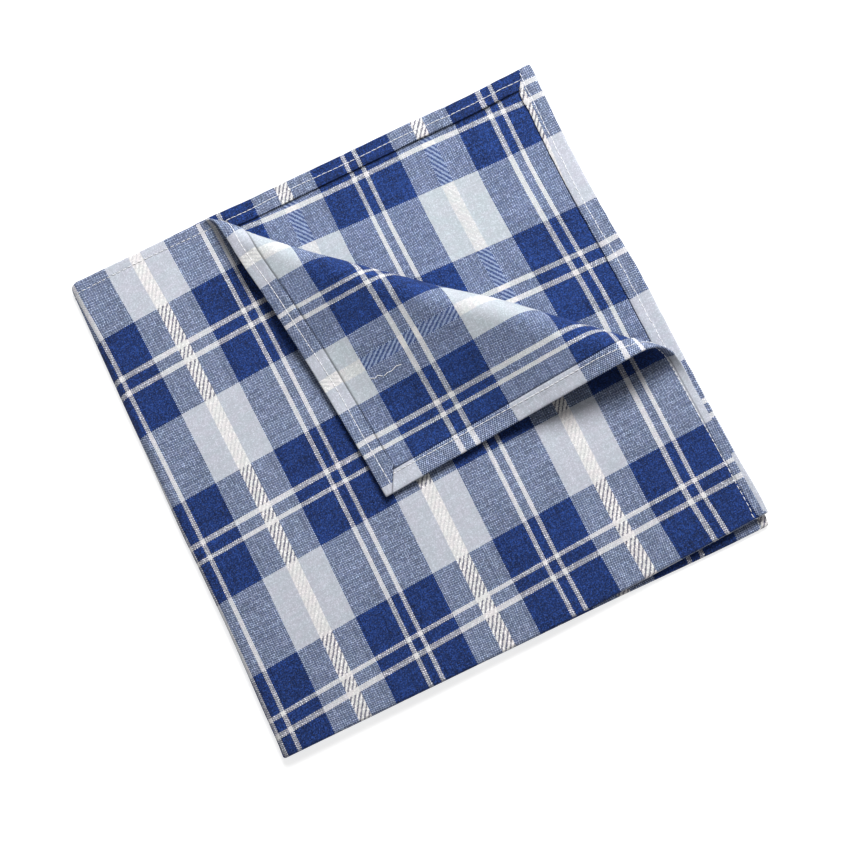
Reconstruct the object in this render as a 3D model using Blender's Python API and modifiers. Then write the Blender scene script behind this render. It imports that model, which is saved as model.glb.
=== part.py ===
"""Folded cotton handkerchief: one hemmed square of cloth in its true folds.

The square is folded in half twice, so that four layers lie on each other, and the corner of the top
layer is turned back over a soft diagonal roll. Metres, +Z up. The second fold lies along the left side
and the first along the bottom, and the cloth's four corners meet at the top right.

A point of the cloth has three coordinates: across (from the middle fold to the side hems), along (from
the other middle fold to the end hems) and lift (towards the wrong side of the cloth).
"""

import math

import bmesh
import bpy
from mathutils import Matrix, Vector

# Finished cloth
HALF_WIDTH = 0.1987
HALF_LENGTH = 0.2003
SHEET_THICKNESS = 0.0010
HEM_THICKNESS = 0.00112
HEM_WIDTH = 0.0073
HEM_SLOPE = 0.0009  # how wide the step is from sheet to hem

# Stack of four layers
LAYER_PITCH = 0.0015
SKIN = SHEET_THICKNESS / 2
END_TURN_RADIUS = LAYER_PITCH / 2
END_TURN_HALF = END_TURN_RADIUS * math.pi / 2
SIDE_TURN_RADIUS = LAYER_PITCH
SIDE_TURN_HALF = 1.5 * LAYER_PITCH * math.pi / 2
SIDE_TURN_CENTRE = SKIN + 1.5 * LAYER_PITCH

# How the hands that folded it missed the exact middle
INNER_REACH = 0.0018  # how much further to the right the inner layers reach
LOWER_INSET = 0.0012  # how much shorter the two lower layers lie
END_FOLD_MISS = 0.0006  # the first fold's distance from the cloth's middle
BOTTOM_RISE = 0.0037  # the upper pair's fold climbs this far at its right end
BOTTOM_RISE_START = 0.105
RIGHT_FLARE = 0.0026  # the top layer's lower right corner stands out
RIGHT_FLARE_HEIGHT = 0.090
RIGHT_DIP = 0.0012  # the other layers' right edges draw in this far near the top
RIGHT_DIP_PLACE = 0.160
RIGHT_DIP_REACH = 0.060
STACK_WAVE = 0.05  # share by which the stack's height swells and sinks
STACK_WAVE_LENGTH = 0.16
STACK_WAVE_PHASES = (0.6, -0.4)

# Turned back corner: its crease line, and the roll along it
CREASE_MIDDLE = Vector((0.1369, 0.1353))
CREASE_ANGLE = math.radians(-42.5)
CREASE_SWEEP = 0.0028  # how far the crease bends back at its left end
CREASE_SWEEP_LENGTH = 0.100
ROLL_PULL = 0.0014  # how far the roll is pulled towards the flap between its ends
ROLL_PULL_LENGTH = 0.115
ROLL_PULL_REACH = 0.030
FLAP_SHEAR = -0.0376
DESCENT = math.radians(20)
LANDING_RADIUS = 0.060
FLAP_HEIGHT = LAYER_PITCH
ROLL_BEND = math.pi + DESCENT
FAR_RUN = 0.5  # a run of cloth that ends behind every landing
# Distance along the crease from its left end, and the roll's radius there
ROLL_ROWS = (
    {"along": 0.000, "radius": 0.0030},
    {"along": 0.020, "radius": 0.0048},
    {"along": 0.045, "radius": 0.0068},
    {"along": 0.090, "radius": 0.0078},
    {"along": 0.125, "radius": 0.0074},
    {"along": 0.155, "radius": 0.0078},
    {"along": 0.185, "radius": 0.0086},
)

# Mesh steps
GRID_CELLS = 20
SIDE_TURN_STEPS = 8
END_TURN_STEPS = 6
ROLL_CUT_FIRST = -0.0150
ROLL_CUT_STEP = 0.0019
ROLL_CUTS = 17
LANDING_CUTS = (0.022, 0.030, 0.039, 0.048, 0.057, 0.067)

CLOTH_COLOUR = (0.115, 0.165, 0.330, 1.0)
CLOTH_ROUGHNESS = 0.9

CREASE_ALONG = Vector((math.cos(CREASE_ANGLE), math.sin(CREASE_ANGLE)))
CREASE_OUT = Vector((-math.sin(CREASE_ANGLE), math.cos(CREASE_ANGLE)))
# The crease's left end, where it meets the top edge of the top layer
CREASE_START = CREASE_MIDDLE + CREASE_ALONG * (
    (HALF_LENGTH - CREASE_MIDDLE.y) / CREASE_ALONG.y
)


def smooth(value):
    """Eases a value from 0 to 1."""
    value = min(max(value, 0.0), 1.0)
    return value * value * (3 - 2 * value)


def clear_scene():
    for item in list(bpy.data.objects):
        bpy.data.objects.remove(item, do_unlink=True)


def cloth_material():
    material = bpy.data.materials.new("checked_cotton")
    material.use_nodes = True
    shader = material.node_tree.nodes["Principled BSDF"]
    shader.inputs["Base Color"].default_value = CLOTH_COLOUR
    shader.inputs["Roughness"].default_value = CLOTH_ROUGHNESS
    shader.inputs["Metallic"].default_value = 0.0
    return material


def roll_radius(along):
    """The roll's radius at a distance along the crease, eased between the rows."""
    if along <= ROLL_ROWS[0]["along"]:
        return ROLL_ROWS[0]["radius"]
    for low, high in zip(ROLL_ROWS, ROLL_ROWS[1:]):
        if along <= high["along"]:
            share = smooth((along - low["along"]) / (high["along"] - low["along"]))
            return low["radius"] + share * (high["radius"] - low["radius"])
    return ROLL_ROWS[-1]["radius"]


def roll_profile(run, radius):
    """Forward distance, height and tangent angle after a run of cloth past the lift-off line."""
    if run <= 0:
        return run, 0.0, 0.0
    arc = radius * ROLL_BEND
    if run <= arc:
        angle = run / radius
        return radius * math.sin(angle), radius * (1 - math.cos(angle)), angle
    forward = radius * math.sin(ROLL_BEND)
    height = radius * (1 - math.cos(ROLL_BEND))
    # Behind the roll a straight slope, then a wide arc that ends flat on the layer below
    drop = height - FLAP_HEIGHT - LANDING_RADIUS * (1 - math.cos(DESCENT))
    slope = drop / math.sin(DESCENT)
    gone = min(run - arc, slope)
    forward -= gone * math.cos(DESCENT)
    height -= gone * math.sin(DESCENT)
    if run <= arc + slope:
        return forward, height, ROLL_BEND
    left = DESCENT - (run - arc - slope) / LANDING_RADIUS
    flat = max(-left, 0.0) * LANDING_RADIUS
    left = max(left, 0.0)
    forward -= LANDING_RADIUS * (math.sin(DESCENT) - math.sin(left)) + flat
    height = FLAP_HEIGHT + LANDING_RADIUS * (1 - math.cos(left))
    return forward, height, math.pi + left


def roll_start(radius):
    """Offset of the lift-off line from the crease, so that the far flap mirrors in the crease."""
    forward, _, _ = roll_profile(FAR_RUN, radius)
    return -(forward + FAR_RUN) / 2


def turn_back(point, lift):
    """Turns a point of the top layer over the crease where it lies past the lift-off line."""
    plan = Vector((point.x, point.y)) - CREASE_START
    along = plan.dot(CREASE_ALONG)
    out = plan.dot(CREASE_OUT)
    radius = roll_radius(along)
    sweep = -CREASE_SWEEP * max(1 - max(along, 0) / CREASE_SWEEP_LENGTH, 0.0) ** 2
    bump = smooth(2 - abs(2 * along / ROLL_PULL_LENGTH - 1) * 2)
    pull = ROLL_PULL * bump * smooth(1 - abs(out) / ROLL_PULL_REACH)
    run = out - sweep - roll_start(radius)
    if run <= 0:
        lie = CREASE_OUT * -pull
        return point + Vector((lie.x, lie.y, -lift))
    forward, height, angle = roll_profile(run, radius)
    # The cloth's wrong side is on the outside of the roll
    forward += math.sin(angle) * lift
    height -= math.cos(angle) * lift
    shear = FLAP_SHEAR * max(run - radius * ROLL_BEND / 2, 0.0)
    place = CREASE_START + CREASE_ALONG * (along + shear)
    place = place + CREASE_OUT * (sweep - pull + roll_start(radius) + forward)
    return Vector((place.x, place.y, point.z + height))


def end_section(along, rise):
    """Distance from the bottom, offset from the pair's middle, and the right side's direction."""
    run = along - END_FOLD_MISS
    if abs(run) <= END_TURN_HALF:
        angle = run / END_TURN_RADIUS
        distance = rise + END_TURN_RADIUS * (1 - math.cos(angle))
        return distance, END_TURN_RADIUS * math.sin(angle), (-math.cos(angle), math.sin(angle))
    side = math.copysign(1.0, run)
    # Where the fold lies higher, the rest is eased in, so that the far edges still meet
    straight = (abs(run) - END_TURN_HALF) * (1 - rise / HALF_LENGTH)
    return rise + END_TURN_RADIUS + straight, side * END_TURN_RADIUS, (0.0, side)


def folded(across, along, lift):
    """The place of a cloth point in the folded handkerchief."""
    upper = across > 0
    climb = max(across - BOTTOM_RISE_START, 0.0) / (HALF_WIDTH - BOTTOM_RISE_START)
    rise = BOTTOM_RISE * climb ** 1.2 if upper else 0.0
    distance, offset, facing = end_section(along, rise)
    is_top_layer = upper and across > SIDE_TURN_HALF and offset > END_TURN_RADIUS * 0.999
    if not is_top_layer:
        distance -= facing[0] * lift
        offset -= facing[1] * lift
    y = SKIN + distance
    radius = SIDE_TURN_RADIUS + offset
    straight = max(abs(across) - SIDE_TURN_HALF, 0.0)
    angle = min(abs(across) / SIDE_TURN_HALF, 1.0) * math.pi / 2
    inner = 0.5 - min(max(offset / LAYER_PITCH, -0.5), 0.5)
    share = straight / HALF_WIDTH
    x = SIDE_TURN_CENTRE - radius * math.cos(angle) + straight + INNER_REACH * inner * share
    height = radius * math.sin(angle) * math.copysign(1.0, across)
    z = SIDE_TURN_CENTRE + height
    if not upper:
        x -= LOWER_INSET * share
        y -= LOWER_INSET * share * y / HALF_LENGTH
    point = Vector((x, y, z))
    if is_top_layer:
        flare = max(1 - y / RIGHT_FLARE_HEIGHT, 0.0) ** 2 * share ** 2
        point.x += RIGHT_FLARE * flare
        point = turn_back(point, lift)
    else:
        dip = smooth(1 - abs(y - RIGHT_DIP_PLACE) / RIGHT_DIP_REACH)
        point.x -= RIGHT_DIP * dip * share ** 2
    swell = math.sin(point.x / STACK_WAVE_LENGTH * math.tau + STACK_WAVE_PHASES[0])
    swell *= math.cos(point.y / STACK_WAVE_LENGTH * math.tau + STACK_WAVE_PHASES[1])
    # The lowest layer stays flat on its surface
    above = max(point.z - SKIN, 0.0)
    point.z += STACK_WAVE * swell * above * min(above / SIDE_TURN_CENTRE, 1.0)
    return point


def cut(sheet, faces, place, normal):
    """Cuts faces of the flat sheet along a straight line."""
    geometry = set(faces)
    for face in faces:
        geometry.update(face.edges)
        geometry.update(face.verts)
    bmesh.ops.bisect_plane(
        sheet, geom=list(geometry), dist=1e-6, plane_co=place, plane_no=normal
    )


def flat_sheet():
    """The flat cloth as a grid, with closer lines where it turns and at its hems."""
    sheet = bmesh.new()
    size = Matrix.Diagonal((HALF_WIDTH, HALF_LENGTH, 1.0, 1.0))
    bmesh.ops.create_grid(
        sheet, x_segments=GRID_CELLS, y_segments=GRID_CELLS, size=1.0, matrix=size
    )
    across_lines = []
    for step in range(-SIDE_TURN_STEPS // 2, SIDE_TURN_STEPS // 2 + 1):
        across_lines.append(SIDE_TURN_HALF * step / (SIDE_TURN_STEPS / 2))
    along_lines = []
    for step in range(-END_TURN_STEPS // 2, END_TURN_STEPS // 2 + 1):
        along_lines.append(END_FOLD_MISS + END_TURN_HALF * step / (END_TURN_STEPS / 2))
    for inset in (HEM_WIDTH, HEM_WIDTH + HEM_SLOPE):
        across_lines += [HALF_WIDTH - inset, inset - HALF_WIDTH]
        along_lines += [HALF_LENGTH - inset, inset - HALF_LENGTH]
    for line in across_lines:
        cut(sheet, sheet.faces[:], (line, 0, 0), (1, 0, 0))
    for line in along_lines:
        cut(sheet, sheet.faces[:], (0, line, 0), (0, 1, 0))
    return sheet


def cut_along_roll(sheet):
    """Adds lines along the turned back corner's roll and landing."""
    # On the top layer a place in the plan is the cloth point plus this shift
    shift = Vector((
        SIDE_TURN_CENTRE - SIDE_TURN_HALF,
        SKIN + END_TURN_RADIUS - END_TURN_HALF - END_FOLD_MISS,
    ))
    start = CREASE_START - shift
    offsets = [ROLL_CUT_FIRST + ROLL_CUT_STEP * step for step in range(ROLL_CUTS)]
    for offset in offsets + list(LANDING_CUTS):
        place = start + CREASE_OUT * offset
        corner = [
            face
            for face in sheet.faces
            if face.calc_center_median().x > SIDE_TURN_HALF
            and face.calc_center_median().y > END_TURN_HALF + END_FOLD_MISS
        ]
        cut(sheet, corner, (place.x, place.y, 0), (CREASE_OUT.x, CREASE_OUT.y, 0))


def hem_share(point):
    """1 on the hem, 0 on the single sheet."""
    inset = min(HALF_WIDTH - abs(point.x), HALF_LENGTH - abs(point.y))
    return 1 - smooth((inset - HEM_WIDTH) / HEM_SLOPE)


def make_handkerchief():
    sheet = flat_sheet()
    cut_along_roll(sheet)
    bmesh.ops.triangulate(sheet, faces=sheet.faces[:])
    shares = [hem_share(vert.co) for vert in sheet.verts]
    extra = (HEM_THICKNESS - SHEET_THICKNESS) / 2
    for vert, share in zip(sheet.verts, shares):
        vert.co = folded(vert.co.x, vert.co.y, extra * share)
    mesh = bpy.data.meshes.new("handkerchief")
    sheet.to_mesh(mesh)
    sheet.free()
    mesh.materials.append(cloth_material())
    mesh.shade_smooth()
    cloth = bpy.data.objects.new("handkerchief", mesh)
    group = cloth.vertex_groups.new(name="thickness")
    for index, share in enumerate(shares):
        thickness = SHEET_THICKNESS + share * (HEM_THICKNESS - SHEET_THICKNESS)
        group.add([index], thickness / HEM_THICKNESS, "REPLACE")
    solid = cloth.modifiers.new("cloth thickness", "SOLIDIFY")
    solid.thickness = HEM_THICKNESS
    solid.offset = 0.0
    solid.use_even_offset = True
    solid.vertex_group = group.name
    return cloth


def centre_on_base(cloth):
    """Places the cloth so that the origin lies under the middle of its box."""
    evaluated = cloth.evaluated_get(bpy.context.evaluated_depsgraph_get())
    places = [evaluated.matrix_world @ vert.co for vert in evaluated.data.vertices]
    low = [min(place[axis] for place in places) for axis in range(3)]
    high = [max(place[axis] for place in places) for axis in range(3)]
    cloth.location = (-(low[0] + high[0]) / 2, -(low[1] + high[1]) / 2, -low[2])


def main():
    clear_scene()
    collection = bpy.data.collections.new("folded_handkerchief")
    bpy.context.scene.collection.children.link(collection)
    cloth = make_handkerchief()
    collection.objects.link(cloth)
    bpy.context.view_layer.update()
    centre_on_base(cloth)


main()
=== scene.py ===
"""Looks of the folded check handkerchief: the thin cloth with its turned hems, stitches and weave.

Metres. A point of the cloth has three coordinates: across and along the square from its middle, and
lift, towards the wrong side of the cloth. folded() gives its place, in the same folds as the solid.
"""

import functools
import math
import random
from types import SimpleNamespace

import bpy
import numpy as np
from mathutils import Matrix, Vector
from mathutils.bvhtree import BVHTree


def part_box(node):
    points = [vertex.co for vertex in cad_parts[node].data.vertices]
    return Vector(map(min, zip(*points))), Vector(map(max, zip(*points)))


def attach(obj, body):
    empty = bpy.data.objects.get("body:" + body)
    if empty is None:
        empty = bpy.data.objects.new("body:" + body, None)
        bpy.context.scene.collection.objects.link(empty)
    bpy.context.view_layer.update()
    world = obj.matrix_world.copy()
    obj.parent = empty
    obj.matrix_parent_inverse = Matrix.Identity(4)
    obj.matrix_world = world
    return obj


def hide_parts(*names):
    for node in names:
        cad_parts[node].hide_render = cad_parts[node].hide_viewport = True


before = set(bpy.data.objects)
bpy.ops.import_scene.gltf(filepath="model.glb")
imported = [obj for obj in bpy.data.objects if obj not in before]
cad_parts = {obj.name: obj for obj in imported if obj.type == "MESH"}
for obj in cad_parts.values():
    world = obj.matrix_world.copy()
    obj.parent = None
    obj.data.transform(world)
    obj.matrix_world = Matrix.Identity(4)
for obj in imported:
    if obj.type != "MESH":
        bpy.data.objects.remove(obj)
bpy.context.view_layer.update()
SOLID_LOW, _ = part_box("handkerchief")

# The cloth and its folds, as in the solid
HALF_WIDTH = 0.1987
HALF_LENGTH = 0.2003
SOLID_SHEET = 0.0010
LAYER_PITCH = 0.0015
SKIN = SOLID_SHEET / 2
END_TURN_RADIUS = LAYER_PITCH / 2
END_TURN_HALF = END_TURN_RADIUS * math.pi / 2
SIDE_TURN_RADIUS = LAYER_PITCH
SIDE_TURN_HALF = 1.5 * LAYER_PITCH * math.pi / 2
SIDE_TURN_CENTRE = SKIN + 1.5 * LAYER_PITCH
INNER_REACH = 0.0018
LOWER_INSET = 0.0012
END_FOLD_MISS = 0.0006
BOTTOM_RISE = 0.0037
BOTTOM_RISE_START = 0.105
BOTTOM_RISE_POWER = 1.2
RIGHT_FLARE = 0.0026
RIGHT_FLARE_HEIGHT = 0.090
RIGHT_DIP = 0.0012
RIGHT_DIP_PLACE = 0.160
RIGHT_DIP_REACH = 0.060
STACK_WAVE = 0.05
STACK_WAVE_LENGTH = 0.16
STACK_WAVE_PHASES = (0.6, -0.4)
CREASE_MIDDLE = Vector((0.1369, 0.1353))
CREASE_ANGLE = math.radians(-42.5)
CREASE_SWEEP = 0.0028
CREASE_SWEEP_LENGTH = 0.100
ROLL_PULL = 0.0014
ROLL_PULL_LENGTH = 0.115
ROLL_PULL_REACH = 0.030
FLAP_SHEAR = -0.0376
DESCENT = math.radians(20)
LANDING_RADIUS = 0.060
FLAP_HEIGHT = LAYER_PITCH
ROLL_BEND = math.pi + DESCENT
FAR_RUN = 0.5
ROLL_ROWS = (
    {"along": 0.000, "radius": 0.0030},
    {"along": 0.020, "radius": 0.0048},
    {"along": 0.045, "radius": 0.0068},
    {"along": 0.090, "radius": 0.0078},
    {"along": 0.125, "radius": 0.0074},
    {"along": 0.155, "radius": 0.0078},
    {"along": 0.185, "radius": 0.0086},
)
CREASE_ALONG = Vector((math.cos(CREASE_ANGLE), math.sin(CREASE_ANGLE)))
CREASE_OUT = Vector((-math.sin(CREASE_ANGLE), math.cos(CREASE_ANGLE)))
CREASE_START = CREASE_MIDDLE + CREASE_ALONG * (
    (HALF_LENGTH - CREASE_MIDDLE.y) / CREASE_ALONG.y
)
CREASE_END_Y = CREASE_MIDDLE.y + (HALF_WIDTH - CREASE_MIDDLE.x) * math.tan(CREASE_ANGLE)

# The real, thin sheet. A pair that ends in _STEP holds the start and length of a soft step.
CLOTH = 0.00034
SINK = SKIN - CLOTH / 2  # how far the thin sheet settles below the middle of the solid's sheet
FLAT_SHARE = 0.999  # past the end turn, a layer's offset is the turn's radius within this share
# The lower half of the side fold leans out, less near the bottom and least around one place
SIDE_LEAN = 0.0021
SIDE_LEAN_REACH = 0.030
LEAN_LOSS = 0.0006
LEAN_LOSS_TOP = 0.095
LEAN_LOSS_FADE = 0.020
LEAN_LOSS_START = 0.008
LEAN_DIP = 0.0008
LEAN_DIP_PLACE = 0.050
LEAN_DIP_REACH = 0.035
# Near the top, the layers under the top one end lower beside the side fold
TOP_POWER = 5
TOP_RETREAT = 0.0010
TOP_RETREAT_STEP = (0.030, 0.040)
TOP_REACH = 0.0009  # the top layer's edge reaches up beside the crease
TOP_REACH_END = 0.075
TOP_REACH_FADE = 0.020
TOP_DIP = 0.0008  # the second layer's edge dips before its corner
TOP_DIP_PLACE = 0.163
TOP_DIP_REACH = 0.026
# Below the flap, the layers under the top one reach out on the right, the lower pair further
RIGHT_SPREAD = 0.0009
LOWER_SPREAD = 0.0006
SPREAD_PLACE = 0.012
SPREAD_TOP = 0.135
SPREAD_FADE = 0.030
SPREAD_POWER = 4
# The top layer's own edge stays back a little there
EDGE_RETREAT = 0.0004
EDGE_RETREAT_STEP = (0.181, 0.014)
EDGE_RETREAT_TOP = 0.060
# The folds along the bottom bulge out, the lower pair's more on the right
BOTTOM_REACH = 0.0005
BOTTOM_REACH_LENGTH = 0.030
LOWER_BOTTOM_REACH = 0.0006
LOWER_REACH_STEP = (0.120, 0.060)
FLAP_SPRING = 0.0010  # the flap's hems spring up off the layer below
FLAP_SPRING_REACH = 0.014
CORNER_LIFT = 0.0007  # the hems' own thickness lifts the stack at the cloth's corners
CORNER_LIFT_REACH = 0.028
RIPPLE_ROWS = (
    {"length": 0.057, "turn": 0.5, "phase": 1.1, "share": 0.020},
    {"length": 0.034, "turn": 2.2, "phase": 0.2, "share": 0.012},
    {"length": 0.083, "turn": 1.4, "phase": 2.7, "share": 0.030},
)

# Hems: the edge is turned over to the wrong side and stitched down
HEM_WIDTH = 0.0073
HEM_RADIUS = 0.00026
HEM_SPRING = 0.00013  # a hem that no layer presses on is this much looser
HEM_SPRING_STEP = (0.090, 0.040)  # this far from the cloth's corner the roll presses on it
HEM_RADIUS_UNDER = 0.00022  # at the cloth's corners, of the hem below and of the hem over it
HEM_RADIUS_OVER = 0.00050
CORNER_START = 0.0085
CORNER_END = 0.0140
# The slanted end of the hem that lies over the other one: inset from the cloth's end, and width
STRIP_END_ROWS = ((0.0, 0.0022), (0.0102, 0.0083), (0.0155, HEM_WIDTH))
# The inner edge of the hem curls down to rest on the cloth, or on the hem under it
CURL_REACH = 0.00030
CURL_TURN = math.radians(90)
CURL_REST = 0.00026
CURL_STEP_FADE = 0.0012
IN_OTHER_HEM = -0.001  # stands for the end inset where a line runs inside the other hem
SEAM_INSET = 0.0039
SEAM_GROOVE = 0.00010
SEAM_GROOVE_HALF = 0.0006
PUCKER = 0.00007
PUCKER_FADE = 0.004
PUCKER_ROWS = (
    {"share": 1.0, "length": 0.0083, "sway": 3, "sway_length": 0.031},
    {"share": 0.7, "length": 0.0131, "sway": 2, "sway_length": 0.047},
)

# Grid of the cloth: close lines round the folds, then rows of start, end and step
HEM_TURN_STEPS = 6
CURL_STEPS = 4
SEAM_STEPS = (-2, -1, 0, 1, 2)  # lines across the seam's groove, in its half widths
FIRST_LINE_INSET = 0.0006
LEAST_STEP = 0.00022
ACROSS_FOLD = {"margin": 0.0006, "step": 0.0005}
ACROSS_STEPS = ((0.0042, 0.050, 0.004), (0.050, 0.1981, 0.0018), (-0.0042, -0.1981, 0.004))
ALONG_FOLD = {"margin": 0.0004, "step": 0.00026}
ALONG_STEPS = ((0.0022, 0.062, 0.004), (0.062, 0.1997, 0.0018), (-0.0010, -0.1997, 0.004))

# Bake map: metres past the hem's inner edge, and the empty rim as a share of the map
BAKE_SPARE = 0.002
BAKE_RIM = 0.001

# Woven check, in millimetres
MM = 1000.0
# Stripes across (a) and along (b): a navy band's middle, the repeat, half the band, and its two
# white lines' distance from its middle and half width
A_STRIPE = {"start": 3.95, "period": 58.55, "navy": 16.65, "line": 2.6, "line_half": 0.875}
B_STRIPE = {"start": 11.5, "period": 71.1, "navy": 20.55, "line": 3.22, "line_half": 1.02}
PERIODS_AHEAD = 20  # keeps the places positive
TWILL_HALF = 2.6
YARN = 0.42
TWILL_LEAN = math.radians(35)
TWILL_PITCH = 1.55
# How the cross stripes run off level: place of the stripe, its slope, and its bend
SKEW_ROWS = (
    {"at": -200.0, "slope": 0.094, "bend": 0.00021},
    {"at": -130.0, "slope": 0.079, "bend": 0.00015},
    {"at": 12.0, "slope": 0.086, "bend": 0.00011},
    {"at": 83.0, "slope": 0.076, "bend": 0.00011},
    {"at": 155.0, "slope": 0.075, "bend": 0.00013},
)
SKEW_FADE = 30.0
# How far the check lies off the solid's grain: leans of the stripes, and where each sets in
LEAN_BEND = -1.3e-4
LEAN_FADE = 0.66
LEAN_FADE_STEP = (75.0, 105.0)
FOLD_LEAN = 0.45
FOLD_LEAN_REACH = 26.0
TOP_LEAN = 0.7
TOP_LEAN_STEP = (170.0, 25.0)
TOP_LEAN_REACH = 30.0
FLARE_STEP = (3.0, 27.0)
EDGE_LEAN = 0.9
EDGE_LEAN_STEP = (183.0, 12.0)
EDGE_LEAN_HEIGHT = 30.0
LOWER_LEAN = -1.65
LOWER_LEAN_START = 100.0
LOWER_LEAN_LENGTH = 65.0
LOWER_EDGE_STEP = (184.0, 10.0)
LOWER_EDGE_TURN_STEP = (140.0, 50.0)
LOWER_SHIFT = -1.7
LOWER_SHIFT_LENGTH = 60.0
STRIP_EASE = 0.30  # the turned strip eases its check in, so that no more of it comes round
STRIP_EASE_INSET = 0.8
# Metres past the bottom fold in which the check takes up the fold's own length
TOP_START_LENGTH = 0.001
UNDER_START_LENGTH = 0.06
# The last stripe of the second layer runs level with its hem: its shift, and the shift's turns
TOP_STRIPE_STEP = (176.0, 12.0)
TOP_STRIPE_SHIFT = 1.5
TOP_STRIPE_DROP = 2.8
TOP_STRIPE_DROP_STEP = (85.0, 80.0)
TOP_STRIPE_RETURN = 1.3
TOP_STRIPE_RETURN_STEP = (168.0, 24.0)

# Yarn colours, as linear reflectance, for the right side and for the wrong side
RIGHT_YARNS = {
    "navy": (0.0088, 0.0282, 0.1270),
    "navy_under_pale": (0.013, 0.030, 0.105),
    "navy_under_white": (0.068, 0.080, 0.155),
    "pale": (0.464, 0.488, 0.542),
    "pale_over_navy": (0.315, 0.368, 0.485),
    "white": (0.665, 0.652, 0.645),
    "white_over_navy": (0.560, 0.565, 0.585),
    "float": (0.670, 0.660, 0.648),
    "gap_navy": (0.090, 0.090, 0.150),
    "gap_pale": (0.590, 0.585, 0.592),
}
WRONG_YARNS = {
    "navy": (0.0105, 0.0330, 0.1430),
    "navy_under_pale": (0.015, 0.034, 0.120),
    "navy_under_white": (0.070, 0.088, 0.165),
    "pale": (0.457, 0.497, 0.534),
    "pale_over_navy": (0.290, 0.345, 0.475),
    "white": (0.640, 0.632, 0.620),
    "white_over_navy": (0.520, 0.535, 0.560),
    "float": (0.235, 0.295, 0.440),
    "gap_navy": (0.035, 0.064, 0.190),
    "gap_pale": (0.600, 0.595, 0.580),
}
HUES = ((1.02, 0.990, 1.01), (0.98, 1.00, 1.00))  # the colours drift between these tints
FUZZ = (0.30, 0.36, 0.50)
FUZZ_COVER = 0.17
WANDER = 0.34  # how far yarns wander off their place, in millimetres
WANDER_SCALE = 0.30
ARCH = 0.55  # heights of a yarn's arch over the other one, and of its round back
ROUND = 0.60
ROUND_TURN = 0.9 * math.pi
# The gaps between the twill's floats: their share, the least strength, and their height
RIGHT_TWILL = {"gap": 0.40, "least": 0.62, "low": 0.55}
WRONG_TWILL = {"gap": 0.54, "least": 0.70, "low": 0.85}
TWILL_TOP = 1.05
TWILL_LOW_ON_NAVY = 0.25
TWILL_RAGGED = 0.16
TWILL_FAINT = (0.20, 0.38)
TWILL_DARK = 0.3
# Unevenness: weights of whole yarns, slubs, crossings and blotches, and its depth, pale to navy
UNEVEN = {"yarn": 0.9, "slub": 1.0, "crossing": 2.3, "blotch": 1.1}
CROSSING_MIDDLE = 0.25
UNEVEN_DEPTH = (0.12, 0.64)
LEAST_TONE = 0.12
# What a yarn's height does to tone and roughness: height from and to, then the value from and to
# The tone from height is painted shade low in the weave and a painted highlight on the yarns'
# crowns
HEIGHT_SHADE_AND_HIGHLIGHT = (0.1, 1.1, 0.86, 1.06)
HEIGHT_ROUGHNESS = (0.0, 1.1, 0.98, 0.84)
BUMP_STRENGTH = 0.6
WEAVE_BUMP = 0.00010
THREAD_BUMP = 0.00005
# Painted shade lines of the hems across and along: millimetres past the edge, half width, and
# strength
FACE_PAINTED_SHADE = (
    {"past": -2.85, "half": 0.30, "strength": 0.70},
    {"past": -3.60, "half": 0.25, "strength": 0.35},
)
BACK_PAINTED_SHADE = ({"past": -7.95, "half": 0.50, "strength": 0.85},) * 2
PAINTED_SHADE_STOP = 0.0070  # they end this far from the other hem's edge
END_START = STRIP_END_ROWS[0][1] * MM
END_SLOPE = (STRIP_END_ROWS[1][1] - STRIP_END_ROWS[0][1]) / STRIP_END_ROWS[1][0]
END_COSINE = math.cos(math.atan(END_SLOPE))
# The painted shadow line along a hem's slanted end, on the strip under it
END_PAINTED_SHADOW = {"off": 0.20, "half": 0.34, "strength": 0.9, "least": 0.4}
# Painted shade in the hem's inner edge, where it curls down to the cloth
CURL_PAINTED_SHADE = (0.15, 1.0)  # the share of the curl where it starts to be dark, and where it is dark
PAINTED_SHADE_KEEPS = 0.30  # share of the colour that is left in a dark line

# Sewing thread
THREAD_RADIUS = 0.00014
STITCH_LENGTH = 0.0023
STITCH_SPREAD = (0.86, 1.12)
STITCH_SLANT = 0.00010
STITCH_START = 0.0016
STITCH_STOP = 0.0034
FACE_SHARE = 0.78  # on the right side the thread shows for this share of a stitch
BACK_SHARE = 0.97
SEAM_DRIFT_ROWS = ((0.00028, 0.027), (0.00014, 0.0077))  # how far, and over which length
LOW_SEAM_SHIFT = 0.0022  # the flap's bottom hem is sewn close to its inner edge
LOW_SEAM_STEP = (0.085, 0.020)
NEAR_SEAM_SHIFT = 0.0006  # and the same hem close to its outer edge beside the bottom corner
NEAR_SEAM_END = 0.075
NEAR_SEAM_FADE = 0.030
NEAR_SEAM_START = 0.004
STITCH_RINGS = 5
STITCH_SIDES = 6
END_TAPER = 0.45
# Loose ends and catch stitches, as plan places above the cloth
LOOSE_THREADS = (
    ((0.0894, 0.1145), (0.0912, 0.1136), (0.0925, 0.1141), (0.0941, 0.1130)),
    ((0.0944, 0.1127), (0.0962, 0.1133), (0.0980, 0.1131), (0.1003, 0.1139), (0.1024, 0.1135)),
)

# Camera
CAMERA_TARGET = (0.100567, 0.090630, 0.0)
CAMERA_DISTANCE = 0.673489
CAMERA_TILT = math.radians(10)
CAMERA_TURN = math.radians(-5.373)
CAMERA_ROLL = math.radians(-25.886)
CAMERA_FOCAL = 74.508
SENSOR = 36.0

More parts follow.
